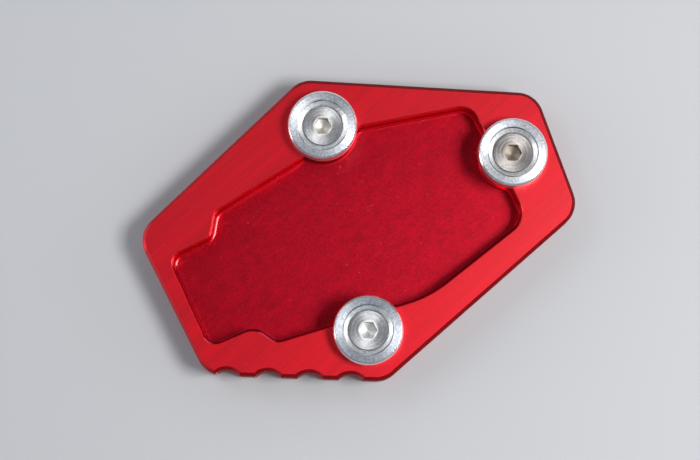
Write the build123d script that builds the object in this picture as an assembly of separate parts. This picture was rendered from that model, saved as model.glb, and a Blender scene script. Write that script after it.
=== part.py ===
from build123d import *
import os
from math import cos, radians, tan

# Kickstand foot enlarger: a machined plate whose pocket takes the foot of a side stand,
# with three countersunk clamp washers and their socket screws around the pocket.
# Drawing axes: the origin is the plate's front left corner on the underside, X runs along
# the scalloped front edge, Y towards the back edge and Z up. The part is centred at the end.

# Plate outline, where its edges would meet if the corners were sharp
front_edge = 46.5
left_tip_reach = 19.6
left_tip_depth = 35.6
back_left_offset = 21.5
back_left_depth = 78.0
back_right_offset = 83.3
back_right_depth = 76.6
right_tip_offset = 95.5
right_tip_depth = 46.1
corner_radius = 7.0
edge_chamfer = 0.9

# Scallops along the front edge
first_scallop = 5.4
scallop_pitch = 10.7
scallop_radius = 4.5
scallop_depth = 1.45

# Pocket corners, from the plate corner beside each
heel_right = 0.6
heel_back = 6.9
spur_right = 12.3
spur_back = 12.5
notch_right = 17.9
notch_back = 8.7
bend_right = 10.6
bend_back = 22.1
end_left = 13.5
end_front = 2.8
shoulder_left = 16.9
shoulder_front = 3.6
crown_right = 13.1
crown_front = 12.3
step_top_right = 20.1
step_top_back = 6.8
step_foot_right = 19.2
step_foot_back = 0.1
nose_right = 8.5
nose_front = 5.6

# Screw axes, from the plate corner beside each
back_screw_right = 6.3
back_screw_front = 12.5
right_screw_left = 18.1
right_screw_back = 14.1
front_screw_left = 5.0
front_screw_back = 12.8

# Pocket section and corner radii
pocket_depth = 6.0
pocket_floor = 4.0
pocket_cutter_radius = 3.5
pocket_back_radius = 5.0
pocket_right_radius = 6.0
pocket_bend_radius = 30.0
pocket_spur_radius = 5.5
pocket_step_radius = 3.5
floor_fillet = 1.0
pocket_deburr = 0.2

# Socket screws
screw_diameter = 6.0
head_diameter = 10.2
head_land = 0.3
socket_width = 4.0
socket_depth = 2.2
socket_mouth = 0.15
socket_drill_angle = 118.0
tip_chamfer = 0.6
tip_setback = 1.0

# Countersunk washers
countersink_mouth = 13.2
countersink_lip = 0.2
bore_land = 0.5
rim_width = 1.9
washer_chamfer = 0.5

# Fits
bore_clearance = 0.6
thread_clearance = 0.1
seat_clearance = 0.05
washer_overhang = 0.8
hole_chamfer = 0.4

# Sizes that follow from those above
plate_thickness = pocket_floor + pocket_depth
bore_radius = (screw_diameter + bore_clearance) / 2
tapped_radius = (screw_diameter + thread_clearance) / 2
mouth_radius = countersink_mouth / 2
washer_radius = mouth_radius + rim_width + washer_chamfer
washer_height = bore_land + mouth_radius - bore_radius + countersink_lip
land_radius = washer_radius - washer_overhang
scallop_count = int((front_edge - first_scallop - scallop_radius) / scallop_pitch) + 1

# Sharp corners of the plate
front_left = Vector(0, 0)
front_right = Vector(front_edge, 0)
right_tip = Vector(right_tip_offset, right_tip_depth)
back_right = Vector(back_right_offset, back_right_depth)
back_left = Vector(back_left_offset, back_left_depth)
left_tip = Vector(-left_tip_reach, left_tip_depth)

# Corners of the pocket, each with its own radius, or 0 where the cutter's radius rounds it
pocket_corners = [
    (front_left + (heel_right, heel_back), 0),
    (front_left + (spur_right, spur_back), pocket_spur_radius),
    (front_left + (notch_right, notch_back), 0),
    (front_right + (bend_right, bend_back), pocket_bend_radius),
    (right_tip - (end_left, end_front), pocket_right_radius),
    (back_right - (shoulder_left, shoulder_front), pocket_back_radius),
    (back_left + (crown_right, -crown_front), 0),
    (left_tip + (step_top_right, step_top_back), 0),
    (left_tip + (step_foot_right, step_foot_back), pocket_step_radius),
    (left_tip + (nose_right, -nose_front), 0),
]

# Screw axes
screw_axes = {
    "back": back_left + (back_screw_right, -back_screw_front),
    "right": right_tip + (-right_screw_left, right_screw_back),
    "front": front_right + (-front_screw_left, front_screw_back),
}

standing = (Align.CENTER, Align.CENTER, Align.MIN)
hanging = (Align.CENTER, Align.CENTER, Align.MAX)


def plate_outline():
    """Six rounded corners, with the scallops cut into the front edge."""
    corners = [front_left, front_right, right_tip, back_right, back_left, left_tip]
    outline = make_face(FilletPolyline(*corners, radius=corner_radius, close=True))
    for index in range(scallop_count):
        along = first_scallop + index * scallop_pitch
        outline -= Pos(along, scallop_depth - scallop_radius) * Circle(scallop_radius)
    return outline


def pocket_outline():
    """Outline of the stand's foot round the washers' lands, with inside corners as a cutter leaves."""
    points = [point for point, radius in pocket_corners]
    radii = [radius for point, radius in pocket_corners]
    outline = make_face(FilletPolyline(*points, radius=radii, close=True))
    for axis in screw_axes.values():
        outline -= Pos(axis) * Circle(land_radius)
    cutter_path = offset(outline, -pocket_cutter_radius)
    return offset(cutter_path, pocket_cutter_radius)


def pocket_cutter():
    """Solid of the pocket, rounded along the foot of its wall."""
    cutter = Pos(0, 0, pocket_floor) * extrude(pocket_outline(), pocket_depth)
    return fillet(cutter.faces().sort_by(Axis.Z)[0].edges(), floor_fillet)


def tapped_hole():
    """Through hole for a screw, flared at the underside."""
    hole = Cylinder(tapped_radius, plate_thickness, align=standing)
    return hole + Cone(tapped_radius + hole_chamfer, tapped_radius, hole_chamfer, align=standing)


def base_plate():
    """Plate with chamfered rims, the pocket and the tapped holes."""
    plate = extrude(plate_outline(), plate_thickness)
    plate = chamfer(plate.faces().filter_by(Axis.Z).edges(), edge_chamfer)
    plate -= pocket_cutter()
    top_face = plate.faces().sort_by(Axis.Z)[-1]
    plate = chamfer(top_face.inner_wires().edges(), pocket_deburr)
    for axis in screw_axes.values():
        plate -= Pos(axis) * tapped_hole()
    return plate


def clamp_washer():
    """Turned washer standing on the plate, countersunk from above."""
    profile = Polyline(
        (bore_radius, 0),
        (washer_radius, 0),
        (washer_radius, washer_height - washer_chamfer),
        (washer_radius - washer_chamfer, washer_height),
        (mouth_radius, washer_height),
        (mouth_radius, washer_height - countersink_lip),
        (bore_radius, bore_land),
        close=True,
    )
    washer = revolve(Plane.XZ * make_face(profile), Axis.Z)
    return Pos(0, 0, plate_thickness) * washer


def hex_socket():
    """Hexagon socket below Z = 0, with the drill's cone at its bottom."""
    across = socket_width / 2
    drill_height = across / tan(radians(socket_drill_angle / 2))
    key = extrude(RegularPolygon(across / cos(radians(30)), 6), -socket_depth)
    return key + Pos(0, 0, -socket_depth) * Cone(0, across, drill_height, align=hanging)


def clamp_screw():
    """Countersunk screw whose cone seats in a washer and whose shank fills the tapped hole."""
    head_radius = head_diameter / 2
    shank_radius = screw_diameter / 2
    seat = plate_thickness + bore_land + head_radius - bore_radius + seat_clearance
    top = seat + head_land
    profile = Polyline(
        (0, tip_setback),
        (shank_radius - tip_chamfer, tip_setback),
        (shank_radius, tip_setback + tip_chamfer),
        (shank_radius, seat - head_radius + shank_radius),
        (head_radius, seat),
        (head_radius, top),
        (0, top),
        close=True,
    )
    screw = revolve(Plane.XZ * make_face(profile), Axis.Z)
    screw -= Pos(0, 0, top) * hex_socket()
    head_face = screw.faces().sort_by(Axis.Z)[-1]
    return chamfer(head_face.inner_wires().edges(), socket_mouth)


centre = plate_outline().bounding_box().center()
home = Pos(-centre.X, -centre.Y)

os.makedirs("parts", exist_ok=True)
export_step(home * base_plate(), "parts/base_plate.step")
for place, axis in screw_axes.items():
    export_step(home * Pos(axis) * clamp_washer(), f"parts/clamp_washer_{place}.step")
screws = [home * Pos(axis) * clamp_screw() for axis in screw_axes.values()]
export_step(Compound(children=screws), "parts/clamp_screws.step")
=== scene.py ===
import math

import bpy
from mathutils import Matrix, Vector


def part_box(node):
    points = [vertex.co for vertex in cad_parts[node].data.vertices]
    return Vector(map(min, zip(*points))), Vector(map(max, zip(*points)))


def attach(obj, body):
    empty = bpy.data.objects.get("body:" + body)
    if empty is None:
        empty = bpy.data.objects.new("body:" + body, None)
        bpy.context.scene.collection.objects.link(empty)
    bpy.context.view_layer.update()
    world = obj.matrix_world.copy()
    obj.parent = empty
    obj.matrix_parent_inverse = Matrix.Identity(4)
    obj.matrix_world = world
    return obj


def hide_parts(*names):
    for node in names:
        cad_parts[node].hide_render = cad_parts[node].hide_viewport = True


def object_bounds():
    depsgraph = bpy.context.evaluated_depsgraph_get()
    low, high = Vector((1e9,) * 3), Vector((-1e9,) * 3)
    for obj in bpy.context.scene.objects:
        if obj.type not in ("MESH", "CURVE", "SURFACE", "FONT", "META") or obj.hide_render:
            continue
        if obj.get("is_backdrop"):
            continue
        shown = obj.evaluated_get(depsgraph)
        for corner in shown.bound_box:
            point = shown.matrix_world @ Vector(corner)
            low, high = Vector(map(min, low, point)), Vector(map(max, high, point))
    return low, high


# Kickstand foot enlarger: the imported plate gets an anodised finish, and the washers and
# screws are replaced by turned pieces of the same size with finer edges.

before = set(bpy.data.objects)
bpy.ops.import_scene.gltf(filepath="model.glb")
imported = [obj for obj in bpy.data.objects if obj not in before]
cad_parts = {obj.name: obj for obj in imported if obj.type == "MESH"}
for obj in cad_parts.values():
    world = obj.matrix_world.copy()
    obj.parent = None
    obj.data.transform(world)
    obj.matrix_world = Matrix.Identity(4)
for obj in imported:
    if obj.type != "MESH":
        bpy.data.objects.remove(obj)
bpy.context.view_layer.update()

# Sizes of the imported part, in millimetres

MM = 0.001
PLATE_TOP = 10.0
POCKET_FLOOR = 4.0

WASHER_RADIUS = 9.0
WASHER_HEIGHT = 4.0
WASHER_CHAMFER = 0.5
WASHER_BORE = 3.3
BORE_LAND = 0.5
COUNTERSINK = 6.6
COUNTERSINK_LIP = 0.2

HEAD_RADIUS = 5.1
HEAD_SEAT = 12.35
HEAD_TOP = 12.65
SHANK_RADIUS = 3.0
TIP_HEIGHT = 1.0
TIP_CHAMFER = 0.6
SOCKET_SIDES = 6
SOCKET_WIDTH = 4.0
SOCKET_DEPTH = 2.2
SOCKET_MOUTH = 0.15
DRILL_HALF_ANGLE = 59.0

# Axes of the washers and screws, read from the washers' boxes

WASHERS = {place: f"clamp_washer_{place}" for place in ("back", "right", "front")}
AXES = {}
for place, node in WASHERS.items():
    low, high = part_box(node)
    AXES[place] = ((low.x + high.x) / 2 / MM, (low.y + high.y) / 2 / MM)


# Mesh tools

SEGMENTS = 144
SHARED_DECIMALS = 5
SAME_POINT = 1e-5


class Builder:
    """Collects faces with a normal for each corner, and shares the vertices that coincide."""

    def __init__(self):
        self.index = {}
        self.points = []
        self.faces = []
        self.normals = []

    def vertex(self, point):
        key = tuple(round(c, SHARED_DECIMALS) for c in point)
        if key not in self.index:
            self.index[key] = len(self.points)
            self.points.append(point)
        return self.index[key]

    def face(self, points, normals):
        corners, kept = [], []
        for point, normal in zip(points, normals):
            index = self.vertex(point)
            if index not in corners:
                corners.append(index)
                kept.append(normal)
        if len(corners) > 2:
            self.faces.append(corners)
            self.normals.extend(kept)

    def make(self, name, material):
        mesh = bpy.data.meshes.new(name)
        mesh.from_pydata([[c * MM for c in p] for p in self.points], [], self.faces)
        mesh.polygons.foreach_set("use_smooth", [True] * len(self.faces))
        mesh.normals_split_custom_set([tuple(n) for n in self.normals])
        mesh.update()
        mesh.materials.append(material)
        piece = bpy.data.objects.new(name, mesh)
        bpy.context.scene.collection.objects.link(piece)
        return piece


def rounded(corners, steps=4):
    """Profile of (point, normal) along corners of (radius, height, rounding), counter-clockwise."""
    profile = []
    count = len(corners)
    for i in range(count):
        before, here, after = (Vector(corners[(i + k) % count][:2]) for k in (-1, 0, 1))
        radius = corners[i][2]
        inward, outward = (here - before).normalized(), (after - here).normalized()
        turn = math.atan2(inward.x * outward.y - inward.y * outward.x, inward.dot(outward))
        first = Vector((inward.y, -inward.x))
        if radius <= 0:
            profile.append((here, first))
            profile.append((here, Vector((outward.y, -outward.x))))
            continue
        side = 1 if turn > 0 else -1
        centre = here - inward * radius * math.tan(abs(turn) / 2) - first * radius * side
        for k in range(steps + 1):
            angle = turn * k / steps
            normal = Vector((
                first.x * math.cos(angle) - first.y * math.sin(angle),
                first.x * math.sin(angle) + first.y * math.cos(angle),
            ))
            profile.append((centre + normal * radius * side, normal))
    return profile


def spin(builder, profile, centre, base):
    """Turns an open profile about the upright axis at centre, with its zero at the base's height."""
    for first, second in zip(profile, profile[1:]):
        if (first[0] - second[0]).length < SAME_POINT:
            continue
        for k in range(SEGMENTS):
            points, normals = [], []
            for (point, normal), step in ((first, k), (first, k + 1), (second, k + 1), (second, k)):
                angle = math.tau * (step % SEGMENTS) / SEGMENTS
                c, s = math.cos(angle), math.sin(angle)
                points.append((centre[0] + point.x * c, centre[1] + point.x * s, base + point.y))
                normals.append(Vector((normal.x * c, normal.x * s, normal.y)))
            builder.face(points, normals)


def rings(builder, centre, first, second, normal):
    """Joins two closed rings, which give radius and height at an angle.

    The normal is worked out from a corner's angle and from the angle at the middle of its face.
    """
    for k in range(SEGMENTS):
        middle = math.tau * (k + 0.5) / SEGMENTS
        points, normals = [], []
        for ring, step in ((first, k), (first, k + 1), (second, k + 1), (second, k)):
            angle = math.tau * (step % SEGMENTS) / SEGMENTS
            radius, height = ring(angle)
            x = centre[0] + radius * math.cos(angle)
            y = centre[1] + radius * math.sin(angle)
            points.append((x, y, height))
            normals.append(normal(angle, middle))
        builder.face(points, normals)


# Material tools

# Range in which most values of a noise lie
NOISE_RANGE = (0.3, 0.7)

# Slopes, from upright 0 to level 1, between which a finish, a painted highlight or a painted shade
# takes hold
LEVEL = (0.97, 0.995)
OFF_LEVEL = (0.9, 0.8)
STEEP = (0.3, 0.5)
SLOPED = (0.15, 0.35)
SOCKET_STEEP = (0.2, 0.4)


class Nodes:
    """Short forms for building a material's nodes."""

    def __init__(self, name):
        self.material = bpy.data.materials.new(name)
        self.material.use_nodes = True
        self.tree = self.material.node_tree
        self.shader = self.tree.nodes["Principled BSDF"]

    def add(self, kind, **settings):
        node = self.tree.nodes.new(kind)
        for key, value in settings.items():
            setattr(node, key, value)
        return node

    def put(self, value, socket):
        if isinstance(value, bpy.types.NodeSocket):
            self.tree.links.new(value, socket)
        else:
            socket.default_value = value

    def set(self, **values):
        for key, value in values.items():
            self.put(value, self.shader.inputs[key.replace("_", " ")])

    def place(self):
        return self.add("ShaderNodeTexCoord").outputs["Object"]

    def normal(self):
        return self.add("ShaderNodeNewGeometry").outputs["Normal"]

    def attribute(self, name, output):
        return self.add("ShaderNodeAttribute", attribute_name=name).outputs[output]

    def math(self, operation, a, b=0.0):
        node = self.add("ShaderNodeMath", operation=operation)
        self.put(a, node.inputs[0])
        self.put(b, node.inputs[1])
        return node.outputs[0]

    def times(self, a, b):
        return self.math("MULTIPLY", a, b)

    def plus(self, a, b):
        return self.math("ADD", a, b)

    def minus(self, a, b):
        return self.math("SUBTRACT", a, b)

    def more(self, a, b):
        return self.math("GREATER_THAN", a, b)

    def less(self, a, b):
        return self.math("LESS_THAN", a, b)

    def scaled(self, factor, amount):
        """One, changed by an amount where the factor is one."""
        return self.plus(1.0, self.times(factor, amount))

    def vector(self, operation, a, b=(0, 0, 0)):
        node = self.add("ShaderNodeVectorMath", operation=operation)
        self.put(a, node.inputs[0])
        self.put(b, node.inputs[1])
        scalar = operation in ("DISTANCE", "DOT_PRODUCT")
        return node.outputs["Value"] if scalar else node.outputs[0]

    def scale(self, vector, factor):
        node = self.add("ShaderNodeVectorMath", operation="SCALE")
        self.put(vector, node.inputs[0])
        self.put(factor, node.inputs["Scale"])
        return node.outputs[0]

    def flattened(self, vector):
        return self.vector("MULTIPLY", vector, (1, 1, 0))

    def split(self, vector):
        node = self.add("ShaderNodeSeparateXYZ")
        self.put(vector, node.inputs[0])
        return node.outputs

    def combine(self, *parts):
        node = self.add("ShaderNodeCombineXYZ")
        for part, socket in zip(parts, node.inputs):
            self.put(part, socket)
        return node.outputs[0]

    def ramp(self, value, low, high, start=0.0, end=1.0):
        node = self.add("ShaderNodeMapRange", interpolation_type="SMOOTHSTEP")
        for v, socket in zip((value, low, high, start, end), node.inputs):
            self.put(v, socket)
        return node.outputs[0]

    def towards(self, vector, direction, low, high):
        """Rises from 0 to 1 as a vector turns to a direction."""
        return self.ramp(self.vector("DOT_PRODUCT", vector, direction), low, high)

    def tone(self, noise, darker, lighter):
        """Noise as a change of tone."""
        return self.ramp(noise, *NOISE_RANGE, -darker, lighter)

    def mix(self, factor, a, b):
        node = self.add("ShaderNodeMix", data_type="RGBA")
        self.put(factor, node.inputs[0])
        self.put(a, node.inputs[6])
        self.put(b, node.inputs[7])
        return node.outputs[2]

    def mix_value(self, factor, a, b):
        node = self.add("ShaderNodeMix", data_type="FLOAT")
        self.put(factor, node.inputs[0])
        self.put(a, node.inputs[2])
        self.put(b, node.inputs[3])
        return node.outputs[0]

    def noise(self, vector, scale=1.0, detail=2, roughness=0.5):
        node = self.add("ShaderNodeTexNoise")
        self.put(vector, node.inputs["Vector"])
        node.inputs["Scale"].default_value = scale
        node.inputs["Detail"].default_value = detail
        node.inputs["Roughness"].default_value = roughness
        return node.outputs["Fac"]

    def turned(self, vector, degrees, scale):
        """Coordinates turned about the upright axis, then stretched."""
        node = self.add("ShaderNodeVectorRotate", rotation_type="Z_AXIS")
        self.put(vector, node.inputs["Vector"])
        node.inputs["Angle"].default_value = math.radians(degrees)
        return self.vector("MULTIPLY", node.outputs[0], scale)

    def bump(self, height, strength, distance, softened):
        """Relief, over edges that look softened by a radius."""
        edges = self.add("ShaderNodeBevel", samples=4)
        edges.inputs["Radius"].default_value = softened
        node = self.add("ShaderNodeBump")
        node.inputs["Strength"].default_value = strength
        node.inputs["Distance"].default_value = distance
        self.put(height, node.inputs["Height"])
        self.put(edges.outputs[0], node.inputs["Normal"])
        return node.outputs[0]


# Anodised plate

# Angles of the marks, in degrees, and how many there are in a metre along each direction
STREAK_ANGLE = 43.0
SCUFF_ANGLE = 28.0
FINE_STREAKS = (60, 2600, 60)
BROAD_STREAKS = (18, 330, 18)
BRUSHING = (160, 900, 160)
SCUFFING = (260, 2100, 260)
MILLING = (40, 40, 2400)
GRAIN = 2600
CLOUDS = 330
SPECKS = 1100
SCUFF_PATCHES = 90

# Height above and below the pocket's floor within which faces belong to it, in millimetres
FLOOR_BAND = 1.5
# Depth below the plate's top of the deburred edge
DEBURR_BAND = 0.22
# Distance from the plate's middle, along their own normal, past which faces belong to the rim
RIM_REACH = 12.0
# Distance from the back screw's axis within which faces belong to its land
LAND_REACH = 9.4

# Directions that tell edges and walls apart by where they face, picking where their reds are painted
# highlights or painted shade, with the cosines between which they take hold
BACK_EDGES = ((0.64, 0.77, 0), -0.1, 0.35)
LEFT_EDGES = ((-0.97, -0.25, 0), 0.25, 0.60)
LIT_WALLS = ((0.985, -0.17, 0), 0.92, 0.98)
SPUR_WALL = ((0.56, 0.83, 0), 0.92, 0.98)
LEFT_WALL = ((0.91, 0.41, 0), 0.82, 0.95)
SHADED_WALLS = ((-0.6, 0.8, 0), 0.0, 0.25)

# Reds of the faces, edges and walls, and of worn spots; the reds picked by where an edge, wall or
# fillet faces are painted highlights, painted light or painted shade
TOP_RED = (0.76, 0.0004, 0.0140, 1)
FLOOR_RED = (0.50, 0.0003, 0.0155, 1)
SIDE_RED = (0.25, 0.0020, 0.0050, 1)
CHAMFER_RED = (0.62, 0.0070, 0.0130, 1)
# Painted shade on chamfers that face the back, and a painted highlight on chamfers that face left
BACK_CHAMFER_SHADE_RED = (0.26, 0.0020, 0.0055, 1)
LEFT_CHAMFER_HIGHLIGHT_RED = (0.80, 0.045, 0.060, 1)
WALL_RED = (0.85, 0.0060, 0.020, 1)
# Painted shade on the left wall, which faces right towards the key light, on the back screw's land
# and on fillets facing away from the lights; painted highlights on fillets and deburred edges facing
# the key light and on the spur's deburred edge; painted light on the spur's fillet
LEFT_WALL_SHADE_RED = (0.50, 0.0040, 0.014, 1)
LAND_SHADE_RED = (0.30, 0.0030, 0.009, 1)
SHADED_FILLET_RED = (0.20, 0.0008, 0.005, 1)
LIT_FILLET_RED = (0.55, 0.042, 0.048, 1)
SPUR_FILLET_PAINTED_LIGHT_RED = (0.42, 0.005, 0.026, 1)
DEBURR_RED = (0.71, 0.0004, 0.0140, 1)
LIT_DEBURR_RED = (0.64, 0.030, 0.040, 1)
SPUR_DEBURR_HIGHLIGHT_RED = (1.0, 0.14, 0.20, 1)
WORN_RED = (0.85, 0.16, 0.20, 1)

# Roughness and weight of the clear coat
TOP_ROUGHNESS = 0.54
FLOOR_ROUGHNESS = 0.47
WALL_ROUGHNESS = 0.22
TOP_COAT = 1.0
FLOOR_COAT = 0.38
RIM_COAT = 0.10
DEBURR_COAT = 0.50


def red_anodised():
    """Brushed top, grained pocket floor, milled sides, and edges and walls whose reds are painted
    highlights and painted shade by where they face.
    """
    m = Nodes("red_anodised")
    place = m.place()
    height = m.split(place)[2]
    normal = m.normal()
    upward = m.split(normal)[2]
    facing = m.vector("NORMALIZE", m.flattened(normal))

    # Faces
    slope = m.math("ABSOLUTE", upward)
    level = m.ramp(slope, *LEVEL)
    side = m.ramp(slope, *STEEP, 1.0, 0.0)
    low = m.less(height, (POCKET_FLOOR + FLOOR_BAND) * MM)
    deep = m.times(m.more(height, (POCKET_FLOOR - FLOOR_BAND) * MM), low)
    top = m.times(level, m.minus(1.0, deep))
    floor = m.times(level, deep)
    flat = m.plus(top, floor)
    rim = m.more(m.vector("DOT_PRODUCT", m.flattened(normal), place), RIM_REACH * MM)

    # Edges and walls
    sloped = m.ramp(upward, *SLOPED)
    deburr = m.times(m.more(height, (PLATE_TOP - DEBURR_BAND) * MM), sloped)
    fillet = m.times(low, sloped)
    land_axis = (AXES["back"][0] * MM, AXES["back"][1] * MM, 0)
    land = m.less(m.vector("DISTANCE", m.flattened(place), land_axis), LAND_REACH * MM)
    lit = m.times(m.towards(facing, *LIT_WALLS), m.minus(1.0, land))
    spur = m.towards(facing, *SPUR_WALL)
    lit_fillet = m.times(fillet, lit)
    shaded_fillet = m.times(fillet, m.towards(normal, *SHADED_WALLS))

    # Marks
    fine = m.noise(m.turned(place, -STREAK_ANGLE, FINE_STREAKS), detail=3, roughness=0.6)
    broad = m.noise(m.turned(place, -STREAK_ANGLE, BROAD_STREAKS))
    streaks = m.plus(m.times(fine, 0.5), m.times(broad, 0.5))
    brushed = m.noise(m.turned(place, -STREAK_ANGLE, BRUSHING), detail=3, roughness=0.6)
    milled = m.noise(m.vector("MULTIPLY", place, MILLING), detail=3, roughness=0.6)
    grain = m.noise(place, GRAIN, roughness=0.7)
    cloud = m.noise(place, CLOUDS, detail=3, roughness=0.65)
    scratches = m.noise(m.turned(place, -SCUFF_ANGLE, SCUFFING), detail=1, roughness=0.4)
    patches = m.noise(place, SCUFF_PATCHES, detail=1)
    scuffs = m.times(m.ramp(scratches, 0.70, 0.80), m.ramp(patches, 0.52, 0.62))
    specks = m.ramp(m.noise(place, SPECKS, detail=0), 0.84, 0.90)
    worn = m.times(m.plus(m.times(scuffs, 0.25), m.times(specks, 0.30)), flat)

    # Colour
    top_tone = m.plus(m.tone(streaks, 0.09, 0.09), m.tone(grain, 0.07, 0.07))
    floor_tone = m.plus(m.tone(grain, 0.20, 0.20), m.tone(brushed, 0.07, 0.07))
    floor_tone = m.plus(floor_tone, m.ramp(cloud, 0.35, 0.65, -0.07, 0.06))
    flat_tone = m.plus(m.times(top, top_tone), m.times(floor, floor_tone))
    tone = m.plus(m.scaled(side, m.tone(milled, 0.18, 0.18)), flat_tone)
    # Painted shade on chamfers facing the back, a painted highlight on chamfers facing left
    edge = m.mix(m.towards(normal, *BACK_EDGES), CHAMFER_RED, BACK_CHAMFER_SHADE_RED)
    edge = m.mix(m.towards(normal, *LEFT_EDGES), edge, LEFT_CHAMFER_HIGHLIGHT_RED)
    edge = m.mix(side, edge, SIDE_RED)
    # Painted shade, painted light and painted highlights on the pocket's walls, fillets and deburred
    # edges, by where they face
    inner = m.mix(shaded_fillet, WALL_RED, SHADED_FILLET_RED)
    inner = m.mix(m.towards(facing, *LEFT_WALL), inner, LEFT_WALL_SHADE_RED)
    inner = m.mix(land, inner, LAND_SHADE_RED)
    inner = m.mix(lit_fillet, inner, LIT_FILLET_RED)
    inner = m.mix(m.times(fillet, spur), inner, SPUR_FILLET_PAINTED_LIGHT_RED)
    deburred = m.mix(spur, m.mix(lit, DEBURR_RED, LIT_DEBURR_RED), SPUR_DEBURR_HIGHLIGHT_RED)
    inner = m.mix(deburr, inner, deburred)
    colour = m.mix(top, m.mix(rim, inner, edge), TOP_RED)
    colour = m.mix(floor, colour, FLOOR_RED)
    m.set(Base_Color=m.mix(worn, m.scale(colour, tone), WORN_RED), Metallic=1.0)

    # Gloss
    inner_rough = m.plus(m.times(lit_fillet, -0.12), m.times(deburr, 0.10))
    inner_rough = m.plus(inner_rough, m.plus(m.times(spur, 0.30), m.times(land, 0.20)))
    inner_rough = m.plus(WALL_ROUGHNESS, inner_rough)
    edge_rough = m.plus(WALL_ROUGHNESS, m.times(side, 0.40))
    rough = m.mix_value(top, m.mix_value(rim, inner_rough, edge_rough), TOP_ROUGHNESS)
    rough = m.mix_value(floor, rough, FLOOR_ROUGHNESS)
    rough = m.plus(rough, m.times(m.times(m.minus(streaks, 0.5), 0.10), top))
    m.set(Roughness=rough, Anisotropic=m.times(top, 0.3))
    along = math.radians(STREAK_ANGLE)
    m.set(Tangent=m.combine(math.cos(along), math.sin(along), 0.0))
    coat = m.mix_value(rim, m.times(deburr, DEBURR_COAT), RIM_COAT)
    coat = m.mix_value(floor, m.mix_value(top, coat, TOP_COAT), FLOOR_COAT)
    m.set(Coat_Weight=coat, Coat_Roughness=0.29, Coat_IOR=1.7)

    # Relief
    relief = m.plus(m.times(m.times(fine, top), 0.5), m.times(grain, floor))
    relief = m.plus(relief, m.times(m.times(milled, side), 0.3))
    m.set(Normal=m.bump(relief, strength=0.25, distance=0.04 * MM, softened=0.22 * MM))
    return m.material


# Turned aluminium

# Distances from the washer's axis at which a finish or a painted shade starts or ends, in
# millimetres
HEAD_GAP_SHADE = (5.12, 5.36)
LIP_SHADE_EDGE = (6.28, 6.36)
CONE_END = 6.62
FACE_END = (8.40, 8.34)
CHAMFER_START = (8.52, 8.60)
WALL_START = 8.0

# Number of marks, and of the lip's arcs of painted shade, in a metre
TURNED_GRAIN = 1900
LIP_SHADE_ARCS = 160
PITS = 1300

# Number of lathe marks in a millimetre outwards, and how far they change round the axis
LATHE_OUTWARDS = 5.0
LATHE_ROUND = 0.8

# Colours of its faces and corners; the pink of the corner, chamfer and wall is a painted reflection
# of the red plate
COOL_METAL = (0.84, 0.90, 0.98, 1)
PALE_METAL = (0.96, 0.96, 0.96, 1)
CONE_METAL = (1.0, 1.0, 1.0, 1)
CORNER_METAL_RED_REFLECTION = (0.98, 0.94, 0.95, 1)
CHAMFER_METAL_RED_REFLECTION = (0.98, 0.86, 0.88, 1)
WALL_METAL_RED_REFLECTION = (0.90, 0.87, 0.88, 1)


def turned_aluminium():
    """Turned faces with grain, lathe marks and pits, painted shade at the countersink's lip and
    round the screw head, and brighter countersinks and corners, the corners pink with a painted
    reflection of the red plate.
    """
    m = Nodes("turned_aluminium")
    reach = m.attribute("reach", "Fac")
    sweep = m.attribute("sweep", "Vector")
    tint = m.attribute("tint", "Vector")
    upward = m.split(m.normal())[2]
    place = m.place()

    # Faces
    cone = m.times(m.less(reach, CONE_END), m.ramp(upward, *OFF_LEVEL))
    face = m.ramp(reach, *FACE_END)
    wall = m.times(m.ramp(upward, *STEEP, 1.0, 0.0), m.more(reach, WALL_START))

    # Marks, and masks for painted shade at the countersink's lip and round the screw head
    grain = m.noise(place, TURNED_GRAIN, roughness=0.65)
    bearing = m.split(sweep)
    around = (m.times(bearing[0], LATHE_ROUND), m.times(bearing[1], LATHE_ROUND))
    lathe = m.combine(m.times(reach, LATHE_OUTWARDS), *around)
    marks = m.noise(lathe, detail=3, roughness=0.7)
    lip_shade_arcs = m.ramp(m.noise(place, LIP_SHADE_ARCS, detail=1), 0.40, 0.56)
    pits = m.ramp(m.noise(place, PITS, detail=0), 0.78, 0.84)
    # Painted shade in the gap round the screw head
    head_gap_shade = m.times(m.ramp(reach, *HEAD_GAP_SHADE, 1.0, 0.0), m.more(upward, 0.2))
    # Painted shade in broken arcs at the countersink's lip
    lip = m.times(m.times(m.ramp(reach, *LIP_SHADE_EDGE), lip_shade_arcs), cone)

    # Colour
    shade = m.scaled(m.plus(m.tone(grain, 0.22, 0.10), m.tone(marks, 0.08, 0.08)), face)
    # Painted shade round the screw head and at the countersink's lip, then darker pits
    shade = m.times(shade, m.scaled(head_gap_shade, -0.5))
    shade = m.times(m.times(shade, m.scaled(lip, -0.75)), m.scaled(pits, -0.4))
    colour = m.mix(m.ramp(grain, 0.35, 0.65), COOL_METAL, PALE_METAL)
    colour = m.mix(cone, m.vector("MULTIPLY", colour, tint), CONE_METAL)
    # The corner, chamfer and wall are tinted pink as a painted reflection of the red plate
    colour = m.mix(face, CORNER_METAL_RED_REFLECTION, colour)
    colour = m.mix(m.ramp(reach, *CHAMFER_START), colour, CHAMFER_METAL_RED_REFLECTION)
    colour = m.mix(wall, colour, WALL_METAL_RED_REFLECTION)
    m.set(Base_Color=m.scale(colour, shade), Metallic=1.0)

    # Gloss
    corner_rough = m.plus(0.20, m.times(wall, 0.14))
    face_rough = m.plus(0.54, m.times(cone, -0.12))
    m.set(Roughness=m.mix_value(face, corner_rough, face_rough), Tangent=sweep)
    m.set(Anisotropic=m.mix_value(face, 0.1, m.plus(0.65, m.times(cone, -0.15))))
    return m.material


# Faced steel

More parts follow.
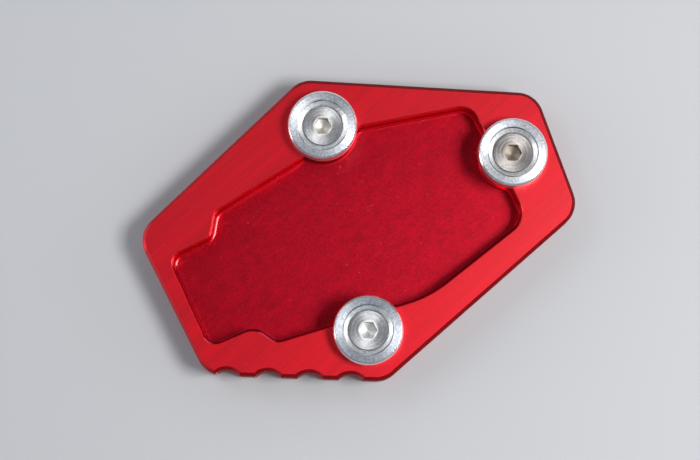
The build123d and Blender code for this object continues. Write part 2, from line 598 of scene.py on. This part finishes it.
# Distances from the screw's axis at which a finish, or painted light or shade, starts or ends, in
# millimetres
SOCKET_END = (2.35, 2.55)
FACING_START = (2.35, 2.6)
OUTER_FACE = (3.9, 4.6)
HEAD_EDGE_SHADE = (4.9, 5.08)

# Number of marks in a metre
FACED_GRAIN = 2200
FACED_PATCHES = 700


def faced_steel():
    """Faced screw heads, darker towards their edge with painted shade on the rim, over smooth
    sockets with painted shade on their walls and painted light in their lighter tint.
    """
    m = Nodes("faced_steel")
    reach = m.attribute("reach", "Fac")
    sweep = m.attribute("sweep", "Vector")
    tint = m.attribute("tint", "Vector")
    upward = m.split(m.normal())[2]
    place = m.place()
    grain = m.noise(place, FACED_GRAIN, detail=3, roughness=0.7)
    patches = m.noise(place, FACED_PATCHES)
    outer = m.times(m.ramp(reach, *OUTER_FACE), 0.12)
    # Painted shade on the head's rounded rim, and a little darker over the outer face
    darker = m.plus(m.times(m.ramp(reach, *HEAD_EDGE_SHADE), 0.35), outer)
    socket = m.ramp(reach, *SOCKET_END, 1.0, 0.0)
    shade = m.plus(m.tone(grain, 0.18, 0.14), m.tone(patches, 0.08, 0.08))
    shade = m.times(m.plus(1.0, shade), m.minus(1.0, darker))
    # Painted shade on the socket's steep walls; the socket's lighter tint is painted light
    inside = m.ramp(upward, *SOCKET_STEEP, 0.50, 1.0)
    m.set(Base_Color=m.scale(tint, m.mix_value(socket, shade, inside)), Metallic=1.0)
    m.set(Roughness=m.plus(0.45, m.times(socket, 0.08)), Tangent=sweep)
    m.set(Anisotropic=m.ramp(reach, *FACING_START, 0.0, 0.55))
    return m.material


# Turned pieces

SOCKET_REACH = 2.5
SWEEP_RISE = 0.3
ON_AXIS = 1e-4


def mark_turning(piece, finishes):
    """Stores each point's distance from its axis, the way its finish spreads light, and its tint.

    A finish is an axis, the turn of its sweep in degrees, and the tints of its face and socket; a
    screw socket's lighter tint is painted light.
    """
    reach, sweep, tint = [], [], []
    for vertex in piece.data.vertices:
        x, y = vertex.co.x / MM, vertex.co.y / MM
        nearest = min(finishes, key=lambda f: (x - f[0][0]) ** 2 + (y - f[0][1]) ** 2)
        axis, turn, face, inside = nearest
        out = Vector((x - axis[0], y - axis[1], 0))
        reach.append(out.length)
        out = out.normalized() if out.length > ON_AXIS else Vector((1, 0, 0))
        c, s = math.cos(math.radians(turn)), math.sin(math.radians(turn))
        sweep.extend((out.x * c - out.y * s, out.x * s + out.y * c, SWEEP_RISE))
        tint.extend(inside if reach[-1] < SOCKET_REACH else face)
    attributes = piece.data.attributes
    attributes.new("reach", "FLOAT", "POINT").data.foreach_set("value", reach)
    attributes.new("sweep", "FLOAT_VECTOR", "POINT").data.foreach_set("vector", sweep)
    attributes.new("tint", "FLOAT_VECTOR", "POINT").data.foreach_set("vector", tint)


# Plate

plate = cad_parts["base_plate"]
plate.data.materials.clear()
plate.data.materials.append(red_anodised())

# Washers, with a bevelled lip and two fine ridges in each countersink

SMALL_ROUND = 0.05
CHAMFER_FOOT_ROUND = 0.80
CHAMFER_TOP_ROUND = 0.16
LIP_BEVEL = 0.24
RIDGES = (6.10, 5.65)
RIDGE_STEP = 0.10
RIDGE_RISE = 0.04
RIDGE_ROUND = 0.03
RIM_TINT = {"back": (0.82, 0.82, 0.83), "right": (0.89, 0.88, 0.89), "front": (0.60, 0.61, 0.64)}


def on_cone(radius, rise, rounding):
    """Corner over the countersink's cone."""
    return radius, radius - COUNTERSINK + WASHER_HEIGHT - COUNTERSINK_LIP + rise, rounding


washer_corners = [
    (WASHER_BORE, 0.0, 0.0),
    (WASHER_RADIUS, 0.0, SMALL_ROUND),
    (WASHER_RADIUS, WASHER_HEIGHT - WASHER_CHAMFER, CHAMFER_FOOT_ROUND),
    (WASHER_RADIUS - WASHER_CHAMFER, WASHER_HEIGHT, CHAMFER_TOP_ROUND),
    (COUNTERSINK, WASHER_HEIGHT, SMALL_ROUND),
    on_cone(COUNTERSINK - LIP_BEVEL, 0.0, SMALL_ROUND),
]
for ridge in RIDGES:
    washer_corners.append(on_cone(ridge, 0.0, RIDGE_ROUND))
    washer_corners.append(on_cone(ridge - RIDGE_STEP, RIDGE_RISE, RIDGE_ROUND))
    washer_corners.append(on_cone(ridge - 2 * RIDGE_STEP, 0.0, RIDGE_ROUND))
washer_corners.append((WASHER_BORE, BORE_LAND, SMALL_ROUND))
washer_profile = rounded(washer_corners)
washer_profile.append(washer_profile[0])

aluminium = turned_aluminium()
for place, node in WASHERS.items():
    shape = Builder()
    spin(shape, washer_profile, AXES[place], PLATE_TOP)
    washer = shape.make(f"turned_washer_{place}", aluminium)
    mark_turning(washer, [(AXES[place], 0, RIM_TINT[place], RIM_TINT[place])])
    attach(washer, "root")
    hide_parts(node)

# Screws, with turned steps on their heads

HEAD_ROUND = 0.06
NECK_ROUND = 0.2
# Radius of each step, and its height from the top of the head
HEAD_STEPS = ((4.35, 0.0), (4.15, -0.015), (3.45, -0.015), (3.25, -0.03), (2.75, -0.03))
# Turn of the sweep in degrees, and tints of the head and of the socket, the socket's lighter tint
# being painted light
SCREW_FINISH_AND_SOCKET_LIGHT = {
    "back": (92, (0.66, 0.655, 0.66), (0.94, 0.90, 0.84)),
    "right": (85, (0.44, 0.405, 0.39), (0.58, 0.50, 0.42)),
    "front": (88, (0.52, 0.52, 0.535), (0.98, 0.97, 0.95)),
}


def circle(radius, height):
    return lambda angle: (radius, height)


def hexagon(across, height):
    def ring(angle):
        along = angle % (math.tau / SOCKET_SIDES) - math.pi / SOCKET_SIDES
        return across / 2 / math.cos(along), height
    return ring


def upright(angle, middle):
    return Vector((0, 0, 1))


def dished(tilt):
    """Normal that leans towards the axis."""
    def normal(angle, middle):
        lean = math.sin(tilt)
        return Vector((-math.cos(angle) * lean, -math.sin(angle) * lean, math.cos(tilt)))
    return normal


def flat_normal(tilt):
    """Normal of the socket's flat at an angle, tilted up."""
    def normal(angle, middle):
        step = math.tau / SOCKET_SIDES
        facing = (math.floor(middle / step) + 0.5) * step
        reach = math.cos(tilt)
        return Vector((-math.cos(facing) * reach, -math.sin(facing) * reach, math.sin(tilt)))
    return normal


screw_corners = [
    (0.0, TIP_HEIGHT, 0.0),
    (SHANK_RADIUS - TIP_CHAMFER, TIP_HEIGHT, SMALL_ROUND),
    (SHANK_RADIUS, TIP_HEIGHT + TIP_CHAMFER, SMALL_ROUND),
    (SHANK_RADIUS, HEAD_SEAT - HEAD_RADIUS + SHANK_RADIUS, NECK_ROUND),
    (HEAD_RADIUS, HEAD_SEAT, SMALL_ROUND),
    (HEAD_RADIUS, HEAD_TOP, HEAD_ROUND),
    (0.0, HEAD_TOP, 0.0),
]
# The profile ends where the head's rounding meets its face, and the turned steps go on from there
screw_profile = rounded(screw_corners)[:-2]
head_steps = [(screw_profile[-1][0].x, 0.0), *HEAD_STEPS]
step_radius, step_fall = HEAD_STEPS[-1]
face_height = HEAD_TOP + step_fall
socket_bottom = HEAD_TOP - SOCKET_DEPTH
drill_depth = SOCKET_WIDTH / 2 / math.tan(math.radians(DRILL_HALF_ANGLE))

face_end = circle(step_radius, face_height)
mouth = hexagon(SOCKET_WIDTH + 2 * SOCKET_MOUTH, face_height)
throat = hexagon(SOCKET_WIDTH, HEAD_TOP - SOCKET_MOUTH)
foot = hexagon(SOCKET_WIDTH, socket_bottom)
drill = circle(SOCKET_WIDTH / 2, socket_bottom)
drill_point = circle(0.0, socket_bottom - drill_depth)

shape = Builder()
for axis in AXES.values():
    spin(shape, screw_profile, axis, 0.0)
    for (r, rise), (s, fall) in zip(head_steps, head_steps[1:]):
        tilt = math.atan2(rise - fall, r - s)
        rings(shape, axis, circle(r, HEAD_TOP + rise), circle(s, HEAD_TOP + fall), dished(tilt))
    rings(shape, axis, face_end, mouth, upright)
    rings(shape, axis, mouth, throat, flat_normal(math.radians(45)))
    rings(shape, axis, throat, foot, flat_normal(0.0))
    rings(shape, axis, foot, drill, upright)
    rings(shape, axis, drill, drill_point, dished(math.radians(90 - DRILL_HALF_ANGLE)))
screws = shape.make("socket_screws", faced_steel())
mark_turning(screws, [(AXES[place], *SCREW_FINISH_AND_SOCKET_LIGHT[place]) for place in AXES])
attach(screws, "root")
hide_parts("clamp_screws")

# Floor, just under the part, in metres

FLOOR_REACH = 1.2
FLOOR_DROP = 0.02 * MM
quarters = ((-1, -1), (1, -1), (1, 1), (-1, 1))
floor_corners = [(x * FLOOR_REACH, y * FLOOR_REACH, 0) for x, y in quarters]
floor_mesh = bpy.data.meshes.new("floor")
floor_mesh.from_pydata(floor_corners, [], [(0, 1, 2, 3)])
floor = bpy.data.objects.new("floor", floor_mesh)
floor.location.z = -FLOOR_DROP
bpy.context.scene.collection.objects.link(floor)
pale = Nodes("pale_floor")
pale.set(Base_Color=(0.50, 0.50, 0.51, 1), Roughness=0.7)
floor_mesh.materials.append(pale.material)
floor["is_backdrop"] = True

# World, whose brightness goes with height, from the horizon at 0 to the zenith at 1

SKY_COLOUR = (0.82, 0.90, 1.0)
HORIZON = 0.20
MIDDLE = {0.45: 0.36, 0.77: 0.36}
ZENITH = 0.02
world = bpy.data.worlds.new("studio")
bpy.context.scene.world = world
world.use_nodes = True
sky = world.node_tree
background = sky.nodes["Background"]
direction = sky.nodes.new("ShaderNodeTexCoord")
parts = sky.nodes.new("ShaderNodeSeparateXYZ")
brightness = sky.nodes.new("ShaderNodeValToRGB")
brightness.color_ramp.interpolation = "EASE"
stops = brightness.color_ramp.elements
stops[0].color = (HORIZON, HORIZON, HORIZON, 1)
stops[1].color = (ZENITH, ZENITH, ZENITH, 1)
for position, level in MIDDLE.items():
    stops.new(position).color = (level, level, level, 1)
sky.links.new(direction.outputs["Generated"], parts.inputs[0])
sky.links.new(parts.outputs[2], brightness.inputs[0])
sky.links.new(brightness.outputs[0], background.inputs[1])
background.inputs[0].default_value = (*SKY_COLOUR, 1)

# Lights, in metres

LIGHT_DISTANCE = 0.65
LIGHT_AIM = Vector((0, 0, 0.01))
WHITE = (1, 1, 1)
COOL_WHITE = (0.95, 0.97, 1.0)


def softbox(name, azimuth, elevation, width, height, glow, colour=WHITE):
    """Area light facing the part, from its direction, its size and its brightness."""
    turn, lift = math.radians(azimuth), math.radians(elevation)
    out = Vector((math.cos(turn) * math.cos(lift), math.sin(turn) * math.cos(lift), math.sin(lift)))
    light = bpy.data.lights.new(name, "AREA")
    light.shape = "RECTANGLE"
    light.size = width
    light.size_y = height
    light.energy = glow * math.pi * width * height
    light.color = colour
    lamp = bpy.data.objects.new(name, light)
    lamp.location = out * LIGHT_DISTANCE + LIGHT_AIM
    lamp.rotation_euler = (LIGHT_AIM - lamp.location).to_track_quat("-Z", "Y").to_euler()
    bpy.context.scene.collection.objects.link(lamp)


softbox("key", -9, 56, 0.24, 0.22, 22)
softbox("key_low", 8, 18, 0.60, 0.20, 2.2)
softbox("fill", 144, 48, 0.18, 0.24, 3.4, COOL_WHITE)
softbox("fill_low", 172, 20, 0.60, 0.24, 2.0, COOL_WHITE)
softbox("north", 95, 30, 0.50, 0.09, 2.0, SKY_COLOUR)
softbox("west", 186, 9, 0.20, 0.10, 6.5)
softbox("south", -76, 30, 0.60, 0.09, 1.2, SKY_COLOUR)

# Camera, at the photo's angle

EYE = Vector((-0.22, -56.69, 511.76)) * MM
TARGET = Vector((-2.25, -0.19, 10.0)) * MM
CAMERA_RIGHT = Vector((0.99935, 0.03595, 0))
camera_data = bpy.data.cameras.new("camera")
camera_data.lens = 100.0
camera_data.sensor_width = 36.0
camera = bpy.data.objects.new("camera", camera_data)
bpy.context.scene.collection.objects.link(camera)
bpy.context.scene.camera = camera
back = (EYE - TARGET).normalized()
right = (CAMERA_RIGHT - back * CAMERA_RIGHT.dot(back)).normalized()
above = back.cross(right)
camera.matrix_world = Matrix((
    (right.x, above.x, back.x, EYE.x),
    (right.y, above.y, back.y, EYE.y),
    (right.z, above.z, back.z, EYE.z),
    (0, 0, 0, 1),
))
bpy.context.scene.view_settings.view_transform = "Standard"

low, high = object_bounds()
